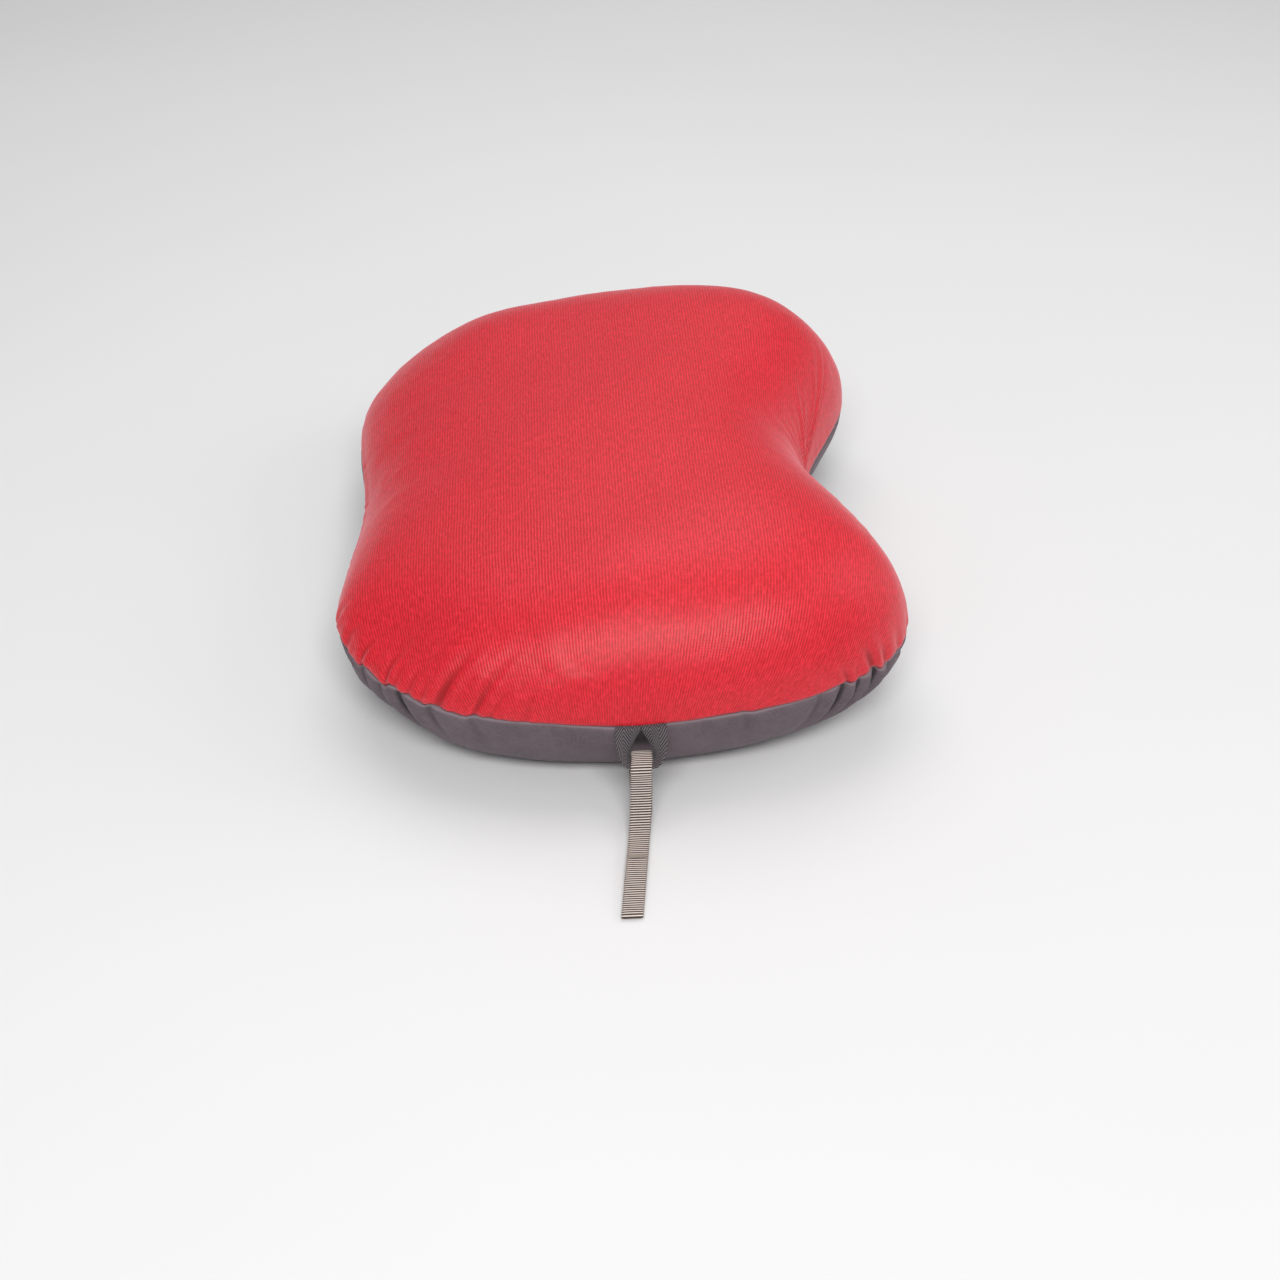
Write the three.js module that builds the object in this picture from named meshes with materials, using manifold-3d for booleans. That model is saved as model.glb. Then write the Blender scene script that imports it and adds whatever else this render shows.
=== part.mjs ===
// Inflatable camp pillow with a neck recess, a two-stage air valve and an elastic hold-down strap.
// Millimetres. X runs along the pillow, the neck recess faces -Y, the valve faces +Y and +Z is up.
// The origin is under the middle of the pillow, on the surface that it stands on.
import * as THREE from "three";
import { mergeVertices } from "three/addons/utils/BufferGeometryUtils.js";
import Module from "manifold-3d";

const wasm = await Module();
wasm.setup();

// ---- driving dimensions ----

// Seam line seen from above, for the +X half; the other half is its mirror image.
const HALF_LENGTH = 184;
const NECK = [0, -109];
const FRONT_LOBE = [114, -143];
const FRONT_CORNER = [164, -100];
const END = [HALF_LENGTH, 6];
const BACK_CORNER = [165, 95];
const BACK_LOBE = [109, 138];
const BACK_MIDDLE = [0, 135];

// Heights: the seam, and the crown above it. The crown leans towards the neck recess.
const SEAM_Z = 46;
const CROWN_RISE = 62;
const CROWN_LEAN_Y = -0.34;
const CROWN_LEAN_X = 0.03;
const CROWN_MIDDLE = 0.04;

// Superellipse powers of the upper side's profile, and the spine that the profile closes on.
const PROFILE_IN = 2.57;
const PROFILE_UP = 2.04;
const SPINE_HALF = 124;
const SPINE_REACH = 130;
const SPINE_Y = 5;

// Lower side: a quarter ellipse this share of the way in to the spine, then a flat base.
const BASE_SHARE = 0.475;

// Faceting of the soft shells.
const AROUND = 40;
const TOP_RINGS = 8;
const BASE_RINGS = 6;
const LAST_RING_ANGLE = THREE.MathUtils.degToRad(80);

// Layers, as depths below the outside: cover cloth, fibre pad, bladder film.
const COVER = 1.2;
const PAD_OUT = 2.0;
const PAD_RIM = 2.0;
const PAD_CROWN = 9.0;
const FILM_GAP = 0.8;
const FILM = 0.8;
const BASE_FILM_OUT = 4.8;
const RIM_GAP = 0.3;
const PAD_RIM_ANGLE = THREE.MathUtils.degToRad(4.5);

// Overlocked seam allowance inside the cover.
const ALLOWANCE_OUT = 2.2;
const ALLOWANCE_IN = 3.6;
const ALLOWANCE_HALF_HEIGHT = 2.6;

// Elastic strap: 10 mm webbing, sewn back on itself round each loop.
const STRAP_WIDTH = 10;
const STRAP_THICKNESS = 1.2;
const STRAP_LEAD_X = 194;
const STRAP_LEAD_Y = 8.6;
const STRAP_FOLD_X = 266;
const GROOVE_WIDTH = 14;
const GROOVE_DEPTH = 1.8;

// Twill tape loops, sewn into the seam at each end and gathered narrower at the bar.
const LOOP_Y = -6.5;
const TAPE_WIDTH = 12;
const BAR_TAPE_WIDTH = 10;
const TAPE_THICKNESS = 1;
const BAR_X = 194;
const BAR_Z = 31;

// Valve: its place on the back band, its tilt below the horizontal, and its radii and levels.
const VALVE_X = 0;
const VALVE_Z = 23;
const VALVE_TILT = THREE.MathUtils.degToRad(37.8);
const VALVE_INSET = 8.6;
const PORT_R = 16.5;
const BINDING_OUT_R = 16.2;
const BINDING_IN_R = 14.7;
const FLANGE_R = 14.2;
const NECK_OUT_R = 10;
const NECK_IN_R = 8.5;
const FILM_HOLE_R = 10.6;
const DISC_R = 11;
const BREATH_R = 5;
const HINGE_V = 14;
const EAR_WIDTH = 7;
const BAND_CURVATURE_R = 45.1;
const TURN_STEPS = 28;

// ---- small tools ----

const group = new THREE.Group();

function addMesh(name, geometry, material, parent = group) {
  const mesh = new THREE.Mesh(geometry, material);
  mesh.name = name;
  parent.add(mesh);
  return mesh;
}

function cloth(color, roughness) {
  return new THREE.MeshStandardMaterial({ color, roughness, metalness: 0 });
}

// Signed volume of an indexed geometry: positive when its faces point outwards.
function signedVolume(geometry) {
  const p = geometry.attributes.position;
  const index = geometry.index.array;
  const [a, b, c] = [new THREE.Vector3(), new THREE.Vector3(), new THREE.Vector3()];
  let total = 0;
  for (let i = 0; i < index.length; i += 3) {
    a.fromBufferAttribute(p, index[i]);
    b.fromBufferAttribute(p, index[i + 1]);
    c.fromBufferAttribute(p, index[i + 2]);
    total += a.dot(b.cross(c)) / 6;
  }
  return total;
}

// A closed geometry from points and triangles, turned the right way out.
function closedGeometry(points, triangles) {
  const geometry = new THREE.BufferGeometry();
  geometry.setAttribute("position", new THREE.Float32BufferAttribute(points.flatMap((p) => p.toArray()), 3));
  geometry.setIndex(triangles.flat());
  if (signedVolume(geometry) < 0) {
    geometry.setIndex(triangles.map(([a, b, c]) => [a, c, b]).flat());
  }
  geometry.computeVertexNormals();
  return geometry;
}

function toManifold(geometry) {
  const bare = geometry.clone();
  bare.deleteAttribute("normal");
  bare.deleteAttribute("uv");
  const merged = mergeVertices(bare, 1e-4);
  if (signedVolume(merged) < 0) {
    merged.index.array.reverse();
  }
  const vertProperties = new Float32Array(merged.attributes.position.array);
  const triVerts = new Uint32Array(merged.index.array);
  return new wasm.Manifold(new wasm.Mesh({ numProp: 3, vertProperties, triVerts }));
}

function fromManifold(solid) {
  const mesh = solid.getMesh();
  const geometry = new THREE.BufferGeometry();
  geometry.setAttribute("position", new THREE.BufferAttribute(new Float32Array(mesh.vertProperties), 3));
  geometry.setIndex(new THREE.BufferAttribute(new Uint32Array(mesh.triVerts), 1));
  geometry.computeVertexNormals();
  return geometry;
}

function boxBetween(low, high) {
  const size = high.map((h, i) => h - low[i]);
  const box = new THREE.BoxGeometry(...size);
  box.translate(...low.map((l, i) => l + size[i] / 2));
  return box;
}

// A turned solid about +Y from a profile of [radius, level] pairs that closes on itself.
function turned(profile) {
  const points = [...profile, profile[0]].map(([r, level]) => new THREE.Vector2(r, level));
  return new THREE.LatheGeometry(points, TURN_STEPS);
}

// ---- the pillow's outline and its upper and lower surfaces ----

const halfOutline = [NECK, FRONT_LOBE, FRONT_CORNER, END, BACK_CORNER, BACK_LOBE, BACK_MIDDLE];
const mirrored = halfOutline.slice(1, -1).reverse().map(([x, y]) => [-x, y]);
const outlineCurve = new THREE.CatmullRomCurve3(
  [...halfOutline, ...mirrored].map(([x, y]) => new THREE.Vector3(x, y, 0)),
  true,
  "centripetal",
);

// The outline moved inwards by a depth, as evenly spaced points.
function outlineAt(depth) {
  return Array.from({ length: AROUND }, (_, i) => {
    const along = i / AROUND;
    const tangent = outlineCurve.getTangentAt(along);
    const inward = new THREE.Vector3(-tangent.y, tangent.x, 0);
    return outlineCurve.getPointAt(along).addScaledVector(inward, depth);
  });
}

function spinePoint(p) {
  return new THREE.Vector3(SPINE_HALF * Math.tanh(p.x / SPINE_REACH), SPINE_Y, 0);
}

function crownRise(x, y) {
  const u = x / HALF_LENGTH;
  const lean = 1 + CROWN_LEAN_X * u + (CROWN_LEAN_Y * y) / BACK_MIDDLE[1] + CROWN_MIDDLE * (1 - 3 * u * u);
  return CROWN_RISE * lean;
}

// One ring of the upper side. The angle runs from 0 at the seam to 90 degrees at the crown.
function topRing(angle, depthAt) {
  const rise = Math.sin(angle) ** (2 / PROFILE_UP);
  const reach = Math.cos(angle) ** (2 / PROFILE_IN);
  const depth = depthAt(rise);
  return outlineAt(depth).map((p) => {
    const ring = p.clone().lerp(spinePoint(p), 1 - reach);
    ring.z = SEAM_Z + RIM_GAP / 2 + rise * (crownRise(ring.x, ring.y) - depth);
    return ring;
  });
}

function topRings(depthAt, rimAngle = 0) {
  return Array.from({ length: TOP_RINGS + 1 }, (_, k) => {
    const angle = (LAST_RING_ANGLE * k) / TOP_RINGS;
    return topRing(Math.max(angle, rimAngle), depthAt);
  });
}

// Rings of the lower side, from the seam down to the edge of the flat base.
function baseRings(depthAt) {
  return Array.from({ length: BASE_RINGS + 1 }, (_, k) => {
    const angle = ((Math.PI / 2) * k) / BASE_RINGS;
    const drop = Math.sin(angle);
    const depth = depthAt(drop);
    return outlineAt(depth).map((p) => {
      const ring = p.clone().lerp(spinePoint(p), BASE_SHARE * (1 - Math.cos(angle)));
      ring.z = SEAM_Z - RIM_GAP / 2 - drop * (SEAM_Z - RIM_GAP / 2 - depth);
      if (k === BASE_RINGS) {
        ring.z = depth;
      }
      return ring;
    });
  });
}

// ---- closed bodies from rings ----

function stripBetween(triangles, first, second, count, flip) {
  for (let i = 0; i < count; i++) {
    const j = (i + 1) % count;
    const [a, b, c, d] = [first + i, first + j, second + i, second + j];
    triangles.push(flip ? [a, c, b] : [a, b, c], flip ? [b, c, d] : [b, d, c]);
  }
}

// Triangles across the last ring, which is nearly flat.
function capTriangles(ring, first, flip) {
  const faces = THREE.ShapeUtils.triangulateShape(ring.map((p) => new THREE.Vector2(p.x, p.y)), []);
  const turned = faces.map(([a, b, c]) => (flip ? [a, c, b] : [a, b, c]));
  return turned.map((face) => face.map((corner) => first + corner));
}

function skinTriangles(rings, first, flip) {
  const triangles = [];
  const count = rings[0].length;
  for (let k = 0; k + 1 < rings.length; k++) {
    stripBetween(triangles, first + k * count, first + (k + 1) * count, count, flip);
  }
  triangles.push(...capTriangles(rings.at(-1), first + (rings.length - 1) * count, flip));
  return triangles;
}

// A shell: an outer skin, an inner skin and the rim between their first rings.
function shellGeometry(outer, inner) {
  const count = outer[0].length;
  const innerFirst = outer.length * count;
  const triangles = [...skinTriangles(outer, 0, false), ...skinTriangles(inner, innerFirst, true)];
  stripBetween(triangles, 0, innerFirst, count, true);
  return closedGeometry([...outer, ...inner].flat(), triangles);
}

// A solid bowl: a skin closed by a flat lid over its first ring.
function bowlGeometry(rings) {
  const triangles = [...skinTriangles(rings, 0, false), ...capTriangles(rings[0], 0, true)];
  return closedGeometry(rings.flat(), triangles);
}

// A closed band between two loops of points, each given at a lower and an upper level.
function bandGeometry(loops) {
  const count = loops[0].length;
  const triangles = [];
  loops.forEach((_, k) => stripBetween(triangles, k * count, ((k + 1) % loops.length) * count, count, false));
  return closedGeometry(loops.flat(), triangles);
}

// A flat ribbon: stations give its centre, its half-width vector and its half-thickness vector.
function ribbonGeometry(stations) {
  const points = stations.flatMap(({ centre, across, through }) => [
    centre.clone().add(across).add(through),
    centre.clone().sub(across).add(through),
    centre.clone().sub(across).sub(through),
    centre.clone().add(across).sub(through),
  ]);
  const triangles = [];
  for (let k = 0; k + 1 < stations.length; k++) {
    stripBetween(triangles, 4 * k, 4 * (k + 1), 4, false);
  }
  const last = 4 * (stations.length - 1);
  triangles.push([0, 2, 1], [0, 3, 2], [last, last + 1, last + 2], [last, last + 2, last + 3]);
  return closedGeometry(points, triangles);
}

// ---- materials ----

const redKnit = cloth(0xcb2c3e, 0.85);
const greyKnit = cloth(0x5d5355, 0.9);
const greyThread = cloth(0x4a4648, 0.9);
const fibre = cloth(0xe9e6e0, 1.0);
const film = cloth(0xc9ccd0, 0.45);
const twill = cloth(0x464345, 0.9);
const elastic = cloth(0xa99d92, 0.85);
const valvePlastic = cloth(0x35373a, 0.5);
const valveRubber = cloth(0x232426, 0.7);
const tackThread = cloth(0x8b8078, 0.8);

// ---- valve frame: local +Y points out of the pillow and local +Z points up the band ----

const valve = new THREE.Group();
const backY = outlineCurve.getPointAt(nearestOutline(VALVE_X)).y - VALVE_INSET;
valve.position.set(VALVE_X, backY, VALVE_Z);
valve.rotation.x = -VALVE_TILT;
valve.updateMatrix();
group.add(valve);

// Where along the outline the back edge reaches an x, found by halving.
function nearestOutline(x) {
  let [low, high] = [0.25, 0.5];
  for (let k = 0; k < 40; k++) {
    const middle = (low + high) / 2;
    const reached = outlineCurve.getPointAt(middle).x;
    [low, high] = reached > x ? [middle, high] : [low, middle];
  }
  return (low + high) / 2;
}

function portCutter(radius) {
  const cutter = new THREE.CylinderGeometry(radius, radius, 26, TURN_STEPS);
  cutter.translate(0, -3, 0);
  cutter.applyMatrix4(valve.matrix);
  return toManifold(cutter);
}

// ---- cover ----

const noDepth = () => 0;
const coverDepth = () => COVER;
addMesh("cover_top", shellGeometry(topRings(noDepth), topRings(coverDepth)), redKnit);

// The base stays flat, with a shallow groove where the strap passes under it.
function coverBottom() {
  const inside = baseRings(coverDepth);
  const lid = inside[0].map((p) => p.clone().setZ(SEAM_Z + 2));
  const grooveHalf = GROOVE_WIDTH / 2;
  const reach = HALF_LENGTH + 20;
  const groove = boxBetween([-reach, LOOP_Y - grooveHalf, -2], [reach, LOOP_Y + grooveHalf, GROOVE_DEPTH]);
  const ridgeHalf = grooveHalf + COVER;
  const ridgeTop = GROOVE_DEPTH + COVER;
  const ridge = boxBetween([-reach, LOOP_Y - ridgeHalf, -2], [reach, LOOP_Y + ridgeHalf, ridgeTop]);
  const outerBody = toManifold(bowlGeometry(baseRings(noDepth))).subtract(toManifold(groove));
  const innerBody = toManifold(bowlGeometry([lid, ...inside])).subtract(toManifold(ridge));
  return fromManifold(outerBody.subtract(innerBody).subtract(portCutter(PORT_R)));
}

addMesh("cover_bottom", coverBottom(), greyKnit);

// The seam allowance of both panels, overlocked together and turned to the inside.
function seamAllowance() {
  const level = (depth, z) => outlineAt(depth).map((p) => p.setZ(z));
  const [low, high] = [SEAM_Z - ALLOWANCE_HALF_HEIGHT, SEAM_Z + ALLOWANCE_HALF_HEIGHT];
  return bandGeometry([
    level(ALLOWANCE_OUT, low),
    level(ALLOWANCE_IN, low),
    level(ALLOWANCE_IN, high),
    level(ALLOWANCE_OUT, high),
  ]);
}

addMesh("seam_allowance", seamAllowance(), greyThread);

// ---- filling ----

const padOut = () => PAD_OUT;
const padIn = (rise) => PAD_OUT + PAD_RIM + (PAD_CROWN - PAD_RIM) * rise;
const filmOut = (rise) => padIn(rise) + FILM_GAP;
const filmIn = (rise) => filmOut(rise) + FILM;
addMesh("fibre_pad", shellGeometry(topRings(padOut, PAD_RIM_ANGLE), topRings(padIn, PAD_RIM_ANGLE)), fibre);
addMesh("bladder_top", shellGeometry(topRings(filmOut), topRings(filmIn)), film);

function bladderBottom() {
  const outer = baseRings(() => BASE_FILM_OUT);
  const inner = baseRings(() => BASE_FILM_OUT + FILM);
  const shell = toManifold(shellGeometry(outer, inner));
  return fromManifold(shell.subtract(portCutter(FILM_HOLE_R)));
}

addMesh("bladder_bottom", bladderBottom(), film);

// ---- valve ----

// Bias tape bound round the cover's port; it follows the curve of the band.
function valveBinding() {
  const ring = (radius, lift) => Array.from({ length: TURN_STEPS }, (_, i) => {
    const angle = (2 * Math.PI * i) / TURN_STEPS;
    const up = radius * Math.sin(angle);
    const level = lift - (up * up) / (2 * BAND_CURVATURE_R);
    return new THREE.Vector3(radius * Math.cos(angle), level, up);
  });
  return bandGeometry([
    ring(BINDING_IN_R, -1.4),
    ring(BINDING_OUT_R, -1.4),
    ring(BINDING_OUT_R, 0.4),
    ring(BINDING_IN_R, 0.4),
  ]);
}

addMesh("valve_binding", valveBinding(), twill, valve);

function ear(low, high) {
  const half = EAR_WIDTH / 2;
  return toManifold(boxBetween([-half, low, NECK_OUT_R - 0.6], [half, high, HINGE_V]));
}

// The seat is welded into the bladder: a flange, a neck and the ear of the plug's hinge.
const seatProfile = [
  [NECK_IN_R, -10],
  [NECK_OUT_R, -10],
  [NECK_OUT_R, -3.3],
  [FLANGE_R, -3.3],
  [FLANGE_R, -2],
  [NECK_OUT_R + 0.5, -2],
  [NECK_OUT_R + 0.5, 1.5],
  [NECK_IN_R, 1.5],
];
addMesh("valve_seat", fromManifold(toManifold(turned(seatProfile)).add(ear(0, 1.35))), valvePlastic, valve);

// The plug swings out of the seat to empty the pillow, and air is blown in through its bore.
const plugProfile = [
  [BREATH_R, -3],
  [7.6, -3],
  [8.1, 1.8],
  [DISC_R, 1.8],
  [DISC_R, 3.1],
  [BREATH_R, 3.1],
];
addMesh("valve_plug", fromManifold(toManifold(turned(plugProfile)).add(ear(1.8, 3.1))), valvePlastic, valve);

const flap = new THREE.CylinderGeometry(6.2, 6.2, 0.6, TURN_STEPS);
flap.translate(0, -3.65, 0);
addMesh("valve_diaphragm", flap, valveRubber, valve);

// The cap closes the plug's bore with a short stopper and has a thumb tab on its lower edge.
const capProfile = [
  [0, -0.5],
  [4.2, -0.5],
  [4.65, 0.2],
  [4.65, 3.45],
  [DISC_R, 3.45],
  [DISC_R, 4.4],
  [DISC_R - 0.7, 5.1],
  [0, 5.1],
];
const thumbTab = toManifold(boxBetween([-4, 3.7, -DISC_R - 3], [4, 4.9, -DISC_R + 1.5]));
const capBody = toManifold(turned(capProfile)).add(ear(3.45, 4.6)).add(thumbTab);
addMesh("valve_cap", fromManifold(capBody), valvePlastic, valve);

// ---- tape loops ----

// One leg of a loop, from the seam down to the bar: offset along Y, out from the bar line, height, twist.
const loopLeg = [
  [6.2, -8.6, 45.2, 0],
  [6.7, -7.8, 42.6, 14],
  [7.2, -6.2, 39.4, 30],
  [7.6, -3.6, 35.6, 52],
  [7.4, -1.2, 32.8, 74],
  [6.7, -0.1, 31.4, 88],
  [5.4, 0, BAR_Z, 90],
  [2, 0, BAR_Z, 90],
];

// side is -1 for the near end and 1 for the far end.
function tapeLoop(side) {
  const leg = (hand) => loopLeg.map(([y, out, z, twist]) => {
    const turn = THREE.MathUtils.degToRad(twist);
    const centre = new THREE.Vector3(side * (BAR_X + out), LOOP_Y + hand * y, z);
    const across = new THREE.Vector3(side * Math.sin(turn), hand * Math.cos(turn), 0);
    const width = THREE.MathUtils.lerp(TAPE_WIDTH, BAR_TAPE_WIDTH, twist / 90);
    return { centre, across: across.multiplyScalar(width / 2) };
  });
  const stations = [...leg(-1), ...leg(1).reverse()];
  stations.forEach((station, k) => {
    const before = stations[Math.max(k - 1, 0)].centre;
    const after = stations[Math.min(k + 1, stations.length - 1)].centre;
    const tangent = after.clone().sub(before);
    station.through = tangent.cross(station.across).setLength(TAPE_THICKNESS / 2);
  });
  return ribbonGeometry(stations);
}

addMesh("loop_near", tapeLoop(-1), twill);
addMesh("loop_far", tapeLoop(1), twill);

// ---- elastic strap ----

// Half of the strap's route as [distance from the middle, height]. It runs under the base, folds
// flat on itself past the end, comes back and climbs, and is sewn back round the loop's bar.
const strapHalf = [
  [0, 0.7],
  [90, 0.7],
  [180, 0.7],
  [225, 0.7],
  [255, 0.7],
  [263, 0.7],
  [STRAP_FOLD_X - 0.9, 0.95],
  [STRAP_FOLD_X, 1.6],
  [STRAP_FOLD_X - 0.9, 2.25],
  [263, 2.5],
  [256, 2.8],
  [248, 3.6],
  [240, 3.9],
  [229, 3.9],
  [218, 4.0],
  [210.5, 6.2],
  [205.4, 12],
  [202.4, 20],
  [201.2, 26.5],
  [201.1, 30.2],
  [199.4, 32.4],
  [196.5, 33],
  [191.5, 33],
  [188.6, 32.4],
  [186.9, 30.2],
  [186.9, 26.5],
  [189.2, 19],
  [194.6, 11],
  [202, 5.2],
  [209, 3.1],
  [215, 2.3],
  [226, 2.2],
  [238, 2.2],
];

// Past the end of the pillow the strap leads off to the side by a few degrees.
function strapY(x) {
  const past = THREE.MathUtils.clamp((Math.abs(x) - STRAP_LEAD_X) / (STRAP_FOLD_X - STRAP_LEAD_X), 0, 1);
  return LOOP_Y + STRAP_LEAD_Y * past;
}

function strapGeometry() {
  const mirror = strapHalf.slice(1).reverse().map(([x, z]) => [-x, z]);
  const route = [...mirror, ...strapHalf].map(([x, z]) => new THREE.Vector3(x, strapY(x), z));
  const stations = route.map((centre, k) => {
    const before = route[Math.max(k - 1, 0)];
    const after = route[Math.min(k + 1, route.length - 1)];
    const tangent = after.clone().sub(before).normalize();
    const across = new THREE.Vector3(0, STRAP_WIDTH / 2, 0);
    const through = tangent.cross(across).setLength(STRAP_THICKNESS / 2);
    return { centre, across, through };
  });
  return ribbonGeometry(stations);
}

addMesh("strap", strapGeometry(), elastic);

// Bar tacks that hold each sewn-back end of the strap.
const TACK_X = 230;
const TACK_Z = 4.8;
for (const [name, side] of [["bartack_near", -1], ["bartack_far", 1]]) {
  const tack = new THREE.BoxGeometry(2.4, 8, 0.5);
  tack.translate(side * TACK_X, strapY(TACK_X), TACK_Z + 0.25);
  addMesh(name, tack, tackThread);
}

// The origin stays under the middle of the whole, valve included.
const whole = new THREE.Box3().setFromObject(group);
group.position.y = -(whole.min.y + whole.max.y) / 2;

export default group;
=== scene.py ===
"""Camp pillow: cloth, tape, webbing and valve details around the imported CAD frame. Metres, +Z up.

X runs along the pillow. The neck recess faces -Y, the valve faces +Y, and the strap leaves at both ends.
"""
import math

import bpy
import numpy as np
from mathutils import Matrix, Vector
from mathutils.bvhtree import BVHTree


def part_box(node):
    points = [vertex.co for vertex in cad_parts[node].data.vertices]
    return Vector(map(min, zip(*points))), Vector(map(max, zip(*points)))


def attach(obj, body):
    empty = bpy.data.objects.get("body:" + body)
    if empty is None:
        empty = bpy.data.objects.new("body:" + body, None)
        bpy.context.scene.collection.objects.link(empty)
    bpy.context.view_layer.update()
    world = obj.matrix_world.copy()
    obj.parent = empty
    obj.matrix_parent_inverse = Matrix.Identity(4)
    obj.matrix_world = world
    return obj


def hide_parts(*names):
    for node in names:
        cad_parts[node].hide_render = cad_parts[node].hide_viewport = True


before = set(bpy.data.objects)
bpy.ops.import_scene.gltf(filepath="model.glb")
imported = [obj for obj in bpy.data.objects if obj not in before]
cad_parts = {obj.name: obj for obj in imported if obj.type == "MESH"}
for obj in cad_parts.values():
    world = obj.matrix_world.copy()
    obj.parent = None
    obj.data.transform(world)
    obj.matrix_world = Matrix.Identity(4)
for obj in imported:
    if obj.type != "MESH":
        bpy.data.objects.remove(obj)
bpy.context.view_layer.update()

MM = 0.001

# ---------------- driving dimensions

# The seam line from above, for the +X half, in mm.
NECK = (0, -109)
FRONT_LOBE = (114, -143)
FRONT_CORNER = (164, -100)
END = (184, 6)
BACK_CORNER = (165, 95)
BACK_LOBE = (109, 138)
BACK_MIDDLE = (0, 135)

# Crown and base of the inflated form.
SEAM_Z = 46 * MM
CROWN_RISE = 61.5 * MM
CROWN_LEAN_Y = -0.34
CROWN_LEAN_X = 0.03
CROWN_MIDDLE = 0.04
PROFILE_IN = 2.57
PROFILE_UP = 2.04
SPINE_HALF = 124 * MM
SPINE_REACH = 130 * MM
SPINE_Y = 5
BASE_SHARE = 0.475

# Mesh of the covers: points round the seam, then rings up the top, down the side and across the base.
AROUND = 720
TOP_RINGS = 92
SIDE_RINGS = 42
FLOOR_RINGS = 36
RING_CROWDING = 1.3

# Cloth simulation. A wrinkle is capped and then scaled by its share; the swell is scaled and then capped.
VOXEL = 4 * MM
FRAMES = 20
GATHER_HALF = 12 * MM
HELD_BELOW = 1.5 * MM
WRINKLE_OUT = 1.3 * MM
WRINKLE_IN = 1.0 * MM
WRINKLE_SHARE = 0.4
SWELL_OUT = 1.5 * MM
SWELL_SHARE = 0.1
CLOTH = {
    "quality": 5, "mass": 0.25, "tension_stiffness": 40, "compression_stiffness": 40, "shear_stiffness": 15,
    "bending_stiffness": 0.05, "use_pressure": True, "uniform_pressure_force": 8,
    "vertex_group_mass": "held", "vertex_group_shrink": "gather", "shrink_min": 0, "shrink_max": -0.06,
}

# Where the strap runs and the tape loops hang. A place here or in a table below is in mm.
LOOP_Y = -6.5
GROOVE_HALF = 6.5 * MM
GROOVE_EDGE = 2.5 * MM
GROOVE_DEPTH = 1.9 * MM
BAR_X = 194
BAR_Z = 31
STRAP_LEAD_X = 194
STRAP_FOLD_X = 266
STRAP_LEAD_Y = 8.6

# The valve's port in the middle of the back band: its place in mm, its tilt below the horizontal, its
# radius, and the radius of the band's own curve there.
PORT_INSET = 8.6
PORT_Z = 23
PORT_TILT = math.radians(37.8)
PORT_R = 16.3 * MM
BAND_CURVATURE_R = 45.1 * MM

rng = np.random.default_rng(7)


def smoothstep(low, high, x):
    t = np.clip((x - low) / (high - low), 0, 1)
    return t * t * (3 - 2 * t)


def unit(v):
    return v / np.maximum(np.linalg.norm(v, axis=-1, keepdims=True), 1e-12)


# ---------------- meshes

def add_object(name, data):
    obj = bpy.data.objects.new(name, data)
    bpy.context.scene.collection.objects.link(obj)
    return obj


def make_object(name, points, faces, material=None, **stored):
    """A smooth-shaded mesh object, with a stored vector per point for each name that its material reads."""
    mesh = bpy.data.meshes.new(name)
    points = np.asarray(points).reshape(-1, 3).tolist()
    mesh.from_pydata(points, [], faces if isinstance(faces, list) else faces.tolist())
    mesh.polygons.foreach_set("use_smooth", [True] * len(mesh.polygons))
    mesh.update()
    for key, rows in stored.items():
        layer = mesh.attributes.new(key, "FLOAT_VECTOR", "POINT")
        layer.data.foreach_set("vector", np.asarray(rows, dtype=np.float32).ravel())
    if material:
        mesh.materials.append(material)
    return add_object(name, mesh)


def apply_modifiers(obj):
    evaluated = obj.evaluated_get(bpy.context.evaluated_depsgraph_get())
    mesh = bpy.data.meshes.new_from_object(evaluated)
    old = obj.data
    obj.modifiers.clear()
    obj.data = mesh
    bpy.data.meshes.remove(old)


def rows_of(data, key):
    """Rows of three numbers from a mesh's vertices or from one of its attributes."""
    out = np.empty(len(data) * 3, dtype=np.float32)
    data.foreach_get(key, out)
    return out.reshape(-1, 3).astype(float)


def grid_faces(rings, count):
    """Quads between consecutive rings of vertices."""
    i = np.arange(count)
    j = (i + 1) % count
    rows = [np.c_[k * count + i, k * count + j, (k + 1) * count + j, (k + 1) * count + i]
            for k in range(rings - 1)]
    return np.concatenate(rows)


# ---------------- the inflated form

def centripetal_curve(control, per_span=60):
    """A closed centripetal Catmull-Rom curve through the control points."""
    n = len(control)
    out = []
    for k in range(n):
        p = [control[(k + d) % n] for d in (-1, 0, 1, 2)]
        t = np.cumsum([0] + [np.linalg.norm(p[d + 1] - p[d]) ** 0.5 for d in range(3)])
        for u in np.linspace(t[1], t[2], per_span, endpoint=False):
            a = [p[d] * (t[d + 1] - u) / (t[d + 1] - t[d]) + p[d + 1] * (u - t[d]) / (t[d + 1] - t[d])
                 for d in range(3)]
            b = [a[d] * (t[d + 2] - u) / (t[d + 2] - t[d]) + a[d + 1] * (u - t[d]) / (t[d + 2] - t[d])
                 for d in range(2)]
            out.append(b[0] * (t[2] - u) / (t[2] - t[1]) + b[1] * (u - t[1]) / (t[2] - t[1]))
    return np.array(out)


def length_along(points):
    """Distance from the first point of a line to each of its points."""
    return np.concatenate([[0], np.cumsum(np.linalg.norm(np.diff(points, axis=0), axis=1))])


def rows_at(at, places, rows):
    """Rows of numbers that belong to some places, read between them."""
    return np.column_stack([np.interp(at, places, column) for column in rows.T])


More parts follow.
